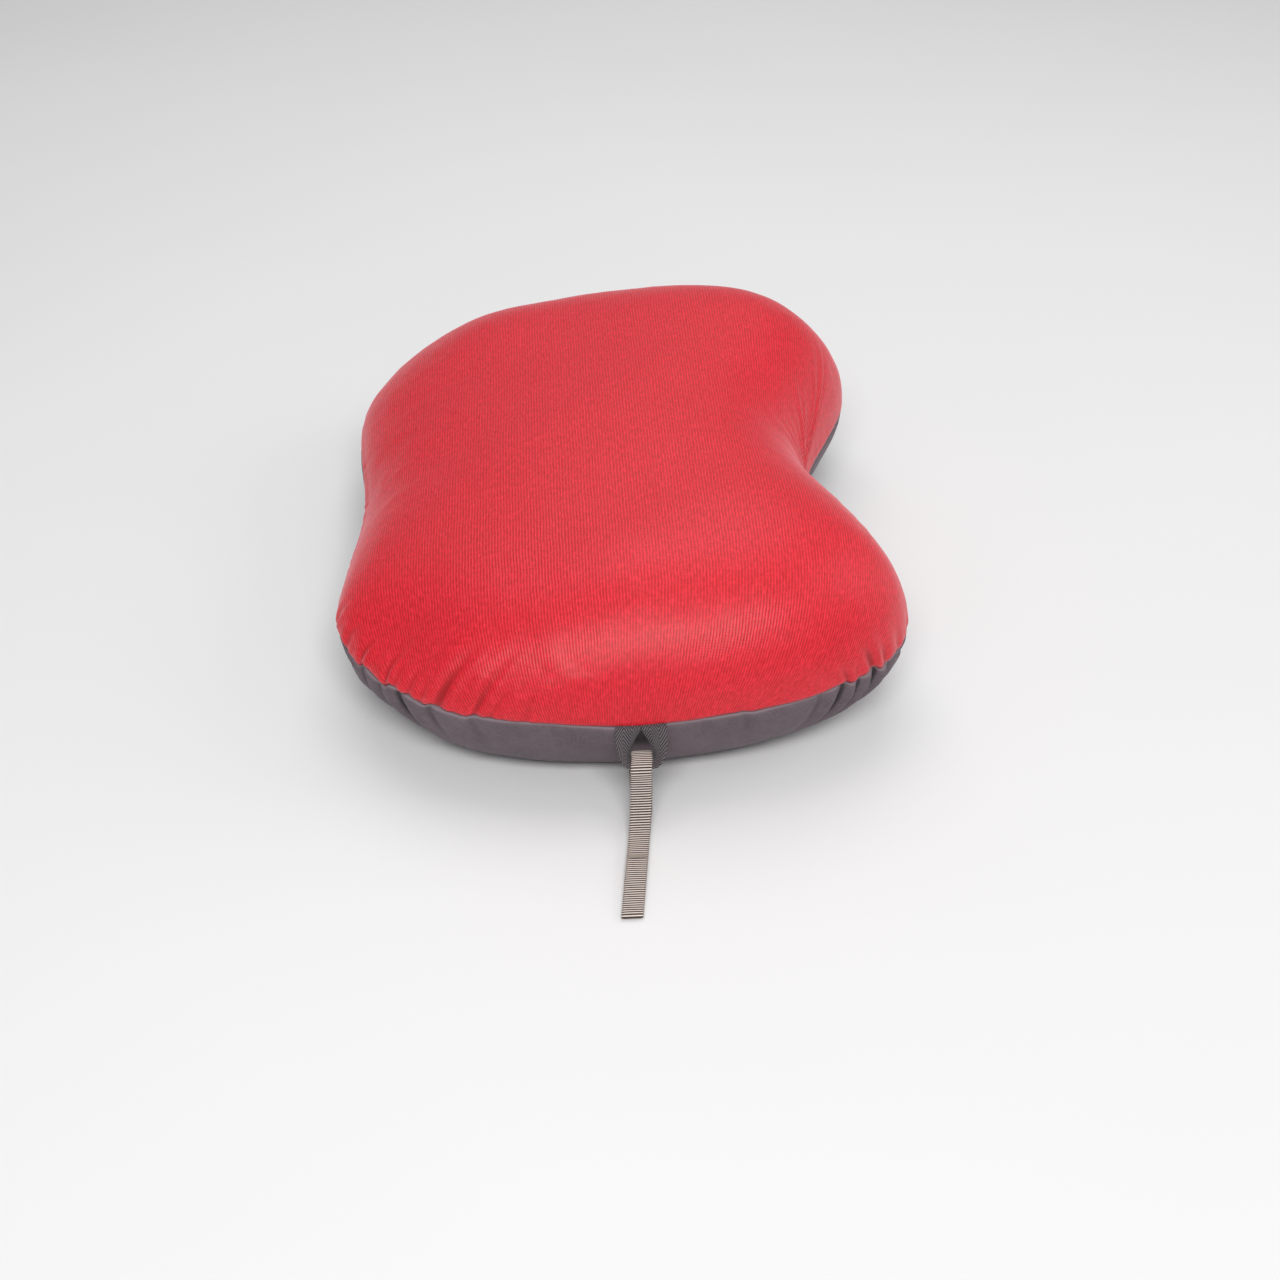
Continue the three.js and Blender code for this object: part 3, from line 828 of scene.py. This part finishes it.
def woven_material():
    """Smooth plain-woven cloth with a faint slub."""
    m = Material("grey_cloth", Roughness=0.72, Sheen_Weight=0.18, Sheen_Roughness=0.4,
                 Sheen_Tint=linear(190, 180, 190), Specular_IOR_Level=0.3)
    u, w, run = m.parts("weave")
    weave = m.math("MULTIPLY", m.wave(u, 0.7 * MM), m.wave(w, 0.7 * MM))
    slub = m.streaks(u, w, 1500.0, 130.0, 2.0, 0.6)
    cross = m.streaks(u, w, 130.0, 1500.0, 2.0, 0.6)
    cloud = m.noise(m.stored("weave"), 45.0, 3.0)
    light = m.math("MULTIPLY_ADD", weave, 0.25, m.math("MULTIPLY", m.math("ADD", slub, cross), 0.42))
    light = m.math("MULTIPLY_ADD", cloud, 0.3, light)
    color = m.blend(m.ramp(light, 0.3, 0.95), linear(78, 68, 73), linear(114, 101, 107))
    # Painted shade: the deeper folds and the dimple behind each loop are coloured a darker grey.
    color = m.blend(m.valley(-1.8), linear(46, 38, 42), color)
    # Painted highlight: a paler grey within about 1.5 mm of the seam, where the rolled edge catches the
    # light.
    m.color(m.blend(m.ramp(run, 0.3 * MM, 1.5 * MM), linear(132, 120, 126), color))
    m.bump(m.math("MULTIPLY_ADD", weave, 0.6, m.math("MULTIPLY", slub, 0.5)), 0.16 * MM, 0.6)
    return m.data


def twill_material():
    """Herringbone tape: slanting floats that change side every few millimetres across the tape."""
    m = Material("herringbone_tape", Roughness=0.7, Sheen_Weight=0.12, Specular_IOR_Level=0.3)
    along, across, _ = m.parts("weave")
    stripe = m.math("PINGPONG", m.math("ADD", across, 14 * MM), 4 * MM)
    float_line = m.wave(m.math("MULTIPLY_ADD", stripe, 1.4, along), 1.7 * MM)
    fuzz = m.noise(m.place(), 2600.0, 2.0, 0.6)
    light = m.math("MULTIPLY_ADD", m.ramp(float_line, 0.5, 0.92), 0.8, m.math("MULTIPLY", fuzz, 0.25))
    m.color(m.blend(light, linear(28, 25, 28), linear(122, 114, 118)))
    m.bump(m.math("MULTIPLY_ADD", float_line, 0.8, m.math("MULTIPLY", fuzz, 0.3)), 0.3 * MM, 0.9)
    return m.data


RIB_PITCH = 1.3 * MM


def webbing_material():
    """Ribbed elastic: pale cross ribs with dark gaps between them."""
    m = Material("ribbed_elastic", Roughness=0.66, Sheen_Weight=0.1, Specular_IOR_Level=0.35)
    along, across, _ = m.parts("weave")
    rib = m.wave(along, RIB_PITCH)
    strand = m.wave(m.math("MULTIPLY_ADD", rib, 0.1 * MM, across), 0.52 * MM)
    fuzz = m.noise(m.place(), 3000.0, 2.0, 0.6)
    light = m.math("MULTIPLY_ADD", strand, 0.12, m.ramp(rib, 0.48, 0.84))
    light = m.math("MULTIPLY_ADD", fuzz, 0.2, m.math("ADD", light, -0.13))
    m.color(m.blend(light, linear(40, 25, 24), linear(228, 214, 204)))
    m.bump(m.math("MULTIPLY_ADD", strand, 0.5, m.math("MULTIPLY", fuzz, 0.3)), 0.15 * MM, 0.7)
    return m.data


def thread_material(name, color):
    """Spun thread, a little lighter and darker from place to place."""
    m = Material(name, Roughness=0.6, Sheen_Weight=0.1)
    fuzz = m.noise(m.place(), 3200.0, 2.0)
    shade = linear(*color)
    m.color(m.blend(fuzz, scaled(shade, 0.7), scaled(shade, 1.25)))
    m.bump(fuzz, 0.1 * MM, 0.5)
    return m.data


def fibre_material():
    """Loose white filling fibre."""
    m = Material("filling_fibre", Roughness=0.95, Sheen_Weight=0.4)
    strand = m.noise(m.place(), 700.0, 4.0, 0.7)
    lump = m.noise(m.place(), 90.0, 3.0)
    m.color(m.blend(m.math("MULTIPLY_ADD", strand, 0.6, m.math("MULTIPLY", lump, 0.4)),
                    linear(205, 203, 196), linear(245, 244, 240)))
    m.bump(m.math("ADD", strand, lump), 1.2 * MM, 0.8)
    return m.data


def film_material():
    """Smooth welded film, faintly crinkled."""
    m = Material("bladder_film", Roughness=0.32, Coat_Weight=0.2)
    crinkle = m.noise(m.place(), 120.0, 4.0, 0.6)
    m.color(m.blend(crinkle, linear(168, 174, 176), linear(204, 208, 208)))
    m.bump(crinkle, 0.8 * MM, 0.5)
    return m.data


def moulded_material(name, color, roughness):
    """Moulded plastic or rubber with a spark-eroded grain and slightly worn colour."""
    m = Material(name, Specular_IOR_Level=0.45)
    grain = m.noise(m.place(), 2800.0, 3.0, 0.6)
    wear = m.noise(m.place(), 160.0, 3.0)
    shade = linear(*color)
    m.color(m.blend(m.ramp(wear, 0.35, 0.7), scaled(shade, 0.82), scaled(shade, 1.2)))
    m.feed(m.shader.inputs["Roughness"], m.ramp(wear, 0.3, 0.75, roughness - 0.06, roughness + 0.08))
    m.bump(grain, 0.06 * MM, 0.5)
    return m.data


def floor_material():
    m = Material("studio_floor", Roughness=0.85, Specular_IOR_Level=0.2)
    m.color(m.blend(m.noise(m.place(), 3.0, 2.0), linear(226, 226, 227), linear(230, 230, 230)))
    return m.data


red_knit = knit_material()
grey_cloth = woven_material()
twill = twill_material()
elastic = webbing_material()
tack_thread = thread_material("tack_thread", (150, 140, 130))
dark_thread = thread_material("dark_thread", (52, 50, 53))
fibre = fibre_material()
film = film_material()
plastic = moulded_material("valve_plastic", (58, 60, 64), 0.45)
rubber = moulded_material("valve_rubber", (36, 37, 39), 0.62)


# ---------------- covers

top_surface, base_surface, top_folds, base_folds = covers()
top_panel = panel("top_panel", top_surface, top_run, top_folds, red_knit, SEAM_GAP, False)
lower_panel = cut_port(panel("lower_panel", base_surface, base_run, base_folds, grey_cloth, -SEAM_GAP, True))
for piece, node, slot_name in ((top_panel, "cover_top", "top_knit"),
                               (lower_panel, "cover_bottom", "bottom_knit")):
    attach(piece, "pillow")
    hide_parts(node)


# ---------------- what lies inside the covers

FIBRE_DEPTH = 2.6 * MM
FIBRE_THICKNESS = 5 * MM

# The rings and points of the top panel that the layer follows, from a little above the seam to a little
# short of the spine.
FIBRE_RINGS = slice(6, TOP_RINGS - 2, 2)
FIBRE_POINTS = slice(0, AROUND, 4)


def fibre_layer():
    """The layer of filling fibre that lies under the top panel."""
    upper, lower = [(top_surface - depth * top_normal)[FIBRE_RINGS, FIBRE_POINTS]
                    for depth in (FIBRE_DEPTH, FIBRE_DEPTH + FIBRE_THICKNESS)]
    rings = np.concatenate([upper[::-1], lower])
    rings[..., 2] += 0.3 * MM * wavy(rings, 20 * MM)
    faces = grid_faces(len(rings), rings.shape[1])
    return make_object("fibre_layer", rings, faces, fibre)


fibre_obj = fibre_layer()
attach(fibre_obj, "pillow")
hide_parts("fibre_pad")

ALLOWANCE_OUT = 3.6 * MM
ALLOWANCE_IN = 9 * MM
STITCH_PITCH = 3.2 * MM
POINTS_PER_STITCH = 8
THREAD_SWING = 0.35 * MM


def seam_allowance():
    """Both panels' edges overlocked together inside the seam, with thread wound over the edge."""
    stitches = round(seam_length / STITCH_PITCH)
    count = stitches * POINTS_PER_STITCH
    at = np.linspace(0, AROUND, count, endpoint=False)
    places = np.arange(AROUND + 1)
    line, away = [rows_at(at, places, np.vstack([rows, rows[:1]])) for rows in (outline, outward)]
    away = unit(away)
    wind = 2 * math.pi * stitches * at / AROUND
    thick = (0.7 + 0.25 * np.sin(wind)) * MM
    rings = []
    for depth, height in ((ALLOWANCE_OUT, 1), (ALLOWANCE_IN, 1), (ALLOWANCE_IN + 0.5 * MM, 0),
                          (ALLOWANCE_IN, -1), (ALLOWANCE_OUT, -1)):
        inside = line - away * (depth + THREAD_SWING * np.sin(wind)[:, None] * (depth > ALLOWANCE_OUT))
        rings.append(np.c_[inside, SEAM_Z + height * thick])
    rings = np.array(rings)
    faces = grid_faces(len(rings), count)
    lid = np.c_[np.arange(count), np.roll(np.arange(count), -1)]
    last = (len(rings) - 1) * count
    faces = np.concatenate([faces, np.c_[last + lid, lid[:, ::-1]]])
    return make_object("overlocked_edge", rings, faces, dark_thread)


allowance = seam_allowance()
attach(allowance, "pillow")
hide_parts("seam_allowance")


# ---------------- tapes and webbing

def smooth_line(points, spacing):
    """A Catmull-Rom line through rows of numbers, sampled evenly by the distance of the first three."""
    points = np.asarray(points, dtype=float)
    ends = np.vstack([2 * points[0] - points[1], points, 2 * points[-1] - points[-2]])
    out = []
    for k in range(1, len(ends) - 2):
        a, b, c, d = ends[k - 1:k + 3]
        chord = [max(np.linalg.norm(q[:3] - p[:3]), 1e-6) ** 0.5 for p, q in ((a, b), (b, c), (c, d))]
        enter = (b - a) / chord[0] - (c - a) / (chord[0] + chord[1]) + (c - b) / chord[1]
        leave = (c - b) / chord[1] - (d - b) / (chord[1] + chord[2]) + (d - c) / chord[2]
        enter, leave = enter * chord[1], leave * chord[1]
        t = np.linspace(0, 1, 24, endpoint=False)[:, None]
        out.append((2 * t ** 3 - 3 * t ** 2 + 1) * b + (t ** 3 - 2 * t ** 2 + t) * enter
                   + (3 * t ** 2 - 2 * t ** 3) * c + (t ** 3 - t ** 2) * leave)
    fine = np.vstack(out + [points[-1:]])
    length = length_along(fine[:, :3])
    at = np.linspace(0, length[-1], max(int(round(length[-1] / spacing)), 2) + 1)
    return rows_at(at, length, fine), at


def ribbon(name, centre, across, along, half_thickness, material, columns=15):
    """A flat band along a line: across holds half its width, and its long edges are rounded."""
    forward = unit(np.gradient(centre, axis=0))
    through = unit(np.cross(forward, across))
    place = np.linspace(-1, 1, columns)
    edge = np.sqrt(np.clip(1 - np.abs(place) ** 8, 0.12, 1))
    section = [(p, e) for p, e in zip(place, edge)] + [(p, -e) for p, e in zip(place[::-1], edge[::-1])]
    width = np.linalg.norm(across, axis=1)
    rows, lines = [], []
    for p, e in section:
        rows.append(centre + across * p + through * (half_thickness * e)[:, None])
        lines.append(np.c_[along, width * p, np.full(len(along), e)])
    count = len(section)
    points = np.array(rows).transpose(1, 0, 2)
    lines = np.array(lines).transpose(1, 0, 2)
    faces = grid_faces(len(centre), count).tolist()
    last = (len(centre) - 1) * count
    for k in range(columns - 1):
        start = [k, k + 1, count - 2 - k, count - 1 - k]
        faces.append(start)
        faces.append([last + v for v in start[::-1]])
    return make_object(name, points, faces, material, weave=lines)


TAPE_WIDTH = 12
BAR_TAPE_WIDTH = 10
TAPE_THICKNESS = 0.95 * MM

# One leg of a loop, from inside the seam down to the bar: its offset along Y, its distance out from the
# bar's line, its height, and its twist in degrees.
LOOP_LEG = [
    (6.05, -13.5, 44.6, 0), (6.1, -10.4, 44.7, 0), (6.15, -8.6, 44, 0), (6.6, -7.8, 42, 10),
    (7.2, -6.2, 39, 28), (7.6, -3.6, 35.6, 50), (7.4, -1.2, 32.8, 72), (6.7, -0.1, 31.4, 86),
    (5.4, 0, BAR_Z, 90), (2, 0, BAR_Z, 90),
]


def tape_loop(name, side):
    """Herringbone tape sewn into the seam; side is -1 for the near end and 1 for the far end."""
    rows = []
    for hand in (-1, 1):
        leg = [(side * (BAR_X + out), LOOP_Y + hand * y, z, hand * (90 - twist))
               for y, out, z, twist in LOOP_LEG]
        rows += leg if hand < 0 else leg[::-1]
    line, along = smooth_line(np.array(rows), 0.35)
    line[:, 1] += shift_y / MM
    turn = np.radians(line[:, 3])
    across = np.c_[side * np.cos(turn), np.sin(turn), np.zeros(len(turn))]
    width = BAR_TAPE_WIDTH + (TAPE_WIDTH - BAR_TAPE_WIDTH) * np.abs(line[:, 3]) / 90
    half = np.full(len(line), TAPE_THICKNESS / 2)
    return ribbon(name, line[:, :3] * MM, across * (width / 2)[:, None] * MM, along * MM, half, twill)


for name, side, node in (("near_loop", -1, "loop_near"), ("far_loop", 1, "loop_far")):
    loop = tape_loop(name, side)
    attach(loop, "pillow")
    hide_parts(node)

STRAP_WIDTH = 10
STRAP_THICKNESS = 1.15 * MM
RIB_HEIGHT = 0.4 * MM

# Half of the strap's route as (distance from the middle, height). It runs under the base, folds flat on
# itself past the end, comes back and climbs, and is sewn back round the loop's bar.
STRAP_HALF = [
    (0, 0.75), (90, 0.75), (180, 0.75), (225, 0.75), (255, 0.75), (263, 0.75), (265.1, 0.98), (266, 1.6),
    (265.1, 2.25), (263, 2.5), (256, 2.8), (248, 3.6), (240, 3.9), (229, 3.9), (218, 4.0), (210.5, 6.2),
    (205.4, 12), (202.4, 20), (201.2, 26.5), (201.1, 30.2), (199.4, 32.4), (196.5, 33), (191.5, 33),
    (188.6, 32.4), (186.9, 30.2), (186.9, 26.5), (189.2, 19), (194.6, 11), (202, 5.2), (209, 3.1), (215, 2.3),
    (226, 2.2), (238, 2.2),
]


def strap_y(x):
    """Past the end of the pillow the strap leads off to the side by a few degrees."""
    past = np.clip((np.abs(x) - STRAP_LEAD_X) / (STRAP_FOLD_X - STRAP_LEAD_X), 0, 1)
    return LOOP_Y + STRAP_LEAD_Y * past


def strap():
    mirror = [(-x, z) for x, z in STRAP_HALF[:0:-1]]
    rows = np.array([(x, strap_y(x), z) for x, z in mirror + STRAP_HALF])
    line, along = smooth_line(rows, RIB_PITCH / MM / 6)
    line[:, 1] = strap_y(line[:, 0])
    across = np.tile([0, STRAP_WIDTH / 2 * MM, 0], (len(line), 1))
    rib = np.sin(2 * math.pi * along * MM / RIB_PITCH)
    half = STRAP_THICKNESS / 2 + RIB_HEIGHT / 2 * (rib - 1)
    line[:, 1] += shift_y / MM
    return ribbon("elastic_strap", line * MM, across, along * MM, half, elastic, 11)


strap_obj = strap()
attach(strap_obj, "pillow")
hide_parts("strap")

TACK_X = 230
TACK_Z = 4.85
TACK_LENGTH = 8
TACK_WIDTH = 2.4
TACK_TURNS = 14
TACK_RISE = 0.12
TACK_SINK = 0.4
TACK_THREAD_R = 0.26 * MM


def tube(points, radius, sides):
    """Points and faces of a thread along a line of points."""
    forward = unit(np.gradient(points, axis=0))
    side = unit(np.cross(forward, [0, 0, 1.0]) + 1e-9)
    up = np.cross(side, forward)
    angle = 2 * math.pi * np.arange(sides) / sides
    ring = side[:, None] * np.cos(angle)[None, :, None] + up[:, None] * np.sin(angle)[None, :, None]
    rings = points[:, None] + radius * ring
    faces = grid_faces(len(points), sides).tolist()
    faces += [list(range(sides))[::-1], [(len(points) - 1) * sides + k for k in range(sides)]]
    return rings.reshape(-1, 3), faces


def bar_tack(name, side):
    """A dense zigzag of thread across the strap."""
    turns = np.linspace(0, TACK_TURNS, TACK_TURNS * 16 + 1)
    swing = 2 / math.pi * np.arcsin(np.sin(2 * math.pi * turns))
    x = side * (TACK_X + TACK_WIDTH / 2 * swing)
    y = strap_y(TACK_X) + shift_y / MM + TACK_LENGTH * (turns / TACK_TURNS - 0.5)
    z = TACK_Z + TACK_RISE - TACK_SINK * np.abs(swing) ** 8
    return make_object(name, *tube(np.c_[x, y, z] * MM, TACK_THREAD_R, 8), tack_thread)


for name, side, node in (("near_bar_tack", -1, "bartack_near"), ("far_bar_tack", 1, "bartack_far")):
    tack = bar_tack(name, side)
    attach(tack, "pillow")
    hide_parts(node)


# ---------------- valve

BINDING_IN_R = 14.8 * MM
BINDING_OUT_R = 17.6 * MM
BINDING_HALF_HEIGHT = 0.85 * MM
BINDING_SINK = 0.1 * MM
BINDING_PUCKER = 0.05
BINDING_AROUND = 160
BINDING_SECTION = 16
BINDING_STITCHES = 40
STITCH_R = 16.9 * MM
STITCH_THREAD_R = 0.22 * MM
STITCH_SHARE = 0.64
STITCH_POINTS = 7


def in_port(radius, angle, lift):
    """A point of the port: its radius, its angle round the axis and its height over the curved band."""
    side, up = radius * np.cos(angle), radius * np.sin(angle)
    level = lift - up * up / (2 * BAND_CURVATURE_R)
    flat = port + side[..., None] * np.array([1, 0, 0]) + up[..., None] * port_up
    return flat + level[..., None] * port_out


def flattened(value, power):
    """A sine or cosine with its sign kept and its size raised to a power, for a squarish section."""
    return math.copysign(abs(value) ** power, value)


def port_binding():
    """Bias tape folded over the edge of the port."""
    count = BINDING_AROUND
    angle = 2 * math.pi * np.arange(count) / count
    pucker = 1 + BINDING_PUCKER * np.sin(BINDING_STITCHES * angle)
    middle = (BINDING_IN_R + BINDING_OUT_R) / 2
    half_width = (BINDING_OUT_R - BINDING_IN_R) / 2
    rings, lines = [], []
    for k in range(BINDING_SECTION):
        t = 2 * math.pi * k / BINDING_SECTION
        radius = np.full(count, middle + half_width * flattened(math.cos(t), 0.6))
        height = BINDING_HALF_HEIGHT * flattened(math.sin(t), 0.8)
        rings.append(in_port(radius, angle, height * pucker - BINDING_SINK))
        across = np.full(count, half_width * 4 * k / BINDING_SECTION)
        lines.append(np.c_[angle * middle, across, np.zeros(count)])
    rings.append(rings[0])
    lines.append(lines[0])
    return make_object("port_binding", rings, grid_faces(len(rings), count), twill, weave=lines)


def port_stitches():
    """Short stitches round the binding, as one mesh."""
    share = np.linspace(-STITCH_SHARE / 2, STITCH_SHARE / 2, STITCH_POINTS)
    lift = (0.72 + 0.32 * np.cos(math.pi * share / STITCH_SHARE)) * MM
    radius = np.full(STITCH_POINTS, STITCH_R)
    points, faces = [], []
    for k in range(BINDING_STITCHES):
        angle = 2 * math.pi * (k + share) / BINDING_STITCHES
        stitch, quads = tube(in_port(radius, angle, lift), STITCH_THREAD_R, 6)
        faces += [[len(points) + v for v in quad] for quad in quads]
        points += stitch.tolist()
    return make_object("port_stitches", points, faces, dark_thread)


binding = port_binding()
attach(binding, "pillow")
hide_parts("valve_binding")
stitches = port_stitches()
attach(stitches, "pillow")

for node, material in (("valve_seat", plastic), ("valve_plug", plastic), ("valve_cap", plastic),
                       ("valve_diaphragm", rubber), ("bladder_top", film), ("bladder_bottom", film)):
    for slot_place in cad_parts[node].material_slots:
        slot_place.material = material


# ---------------- camera, light and floor

# The view: in front of the near end, looking down along the pillow.
CAMERA_PLACE = (-0.8264, 0.0305, 0.6008)
CAMERA_DOWN = math.radians(38.09)
CAMERA_TURN = math.radians(-3.256)
SENSOR = 36
LENS = 50.48

camera_data = bpy.data.cameras.new("camera")
camera_data.sensor_width = SENSOR
camera_data.lens = LENS
camera = add_object("camera", camera_data)
camera.location = Vector(CAMERA_PLACE) + Vector((0, shift_y, 0))
aim = Vector((math.cos(CAMERA_DOWN) * math.cos(CAMERA_TURN), math.cos(CAMERA_DOWN) * math.sin(CAMERA_TURN),
              -math.sin(CAMERA_DOWN)))
camera.rotation_euler = aim.to_track_quat("-Z", "Y").to_euler()
bpy.context.scene.camera = camera


LIT_POINT = Vector((0, 0, 0.05))


def soft_box(name, place, size, power):
    """A large area light that faces the pillow."""
    data = bpy.data.lights.new(name, "AREA")
    data.shape = "RECTANGLE"
    data.size, data.size_y = size
    data.energy = power
    light = add_object(name, data)
    light.location = place
    light.rotation_euler = (LIT_POINT - Vector(place)).to_track_quat("-Z", "Y").to_euler()


# Each light's place and size in metres, and its power in watts.
LIGHTS = [
    ("front_key", (-1.3, 0.02, 1.42), (1.1, 0.5), 22),
    ("side_fill", (0.1, -1.5, 0.9), (0.9, 0.9), 5),
    ("overhead", (0.6, 0.0, 1.4), (1.2, 1.2), 8),
]
WORLD_STRENGTH = 0.36
for light in LIGHTS:
    soft_box(*light)
world = bpy.data.worlds.new("studio")
world.use_nodes = True
backdrop = world.node_tree.nodes["Background"].inputs
backdrop["Color"].default_value = (1, 1, 1, 1)
backdrop["Strength"].default_value = WORLD_STRENGTH
bpy.context.scene.world = world
bpy.context.scene.view_settings.view_transform = "Standard"

FLOOR_HALF = 3
corners = [(x * FLOOR_HALF, y * FLOOR_HALF, 0) for x, y in ((-1, -1), (1, -1), (1, 1), (-1, 1))]
floor = make_object("floor", corners, [(0, 1, 2, 3)], floor_material())
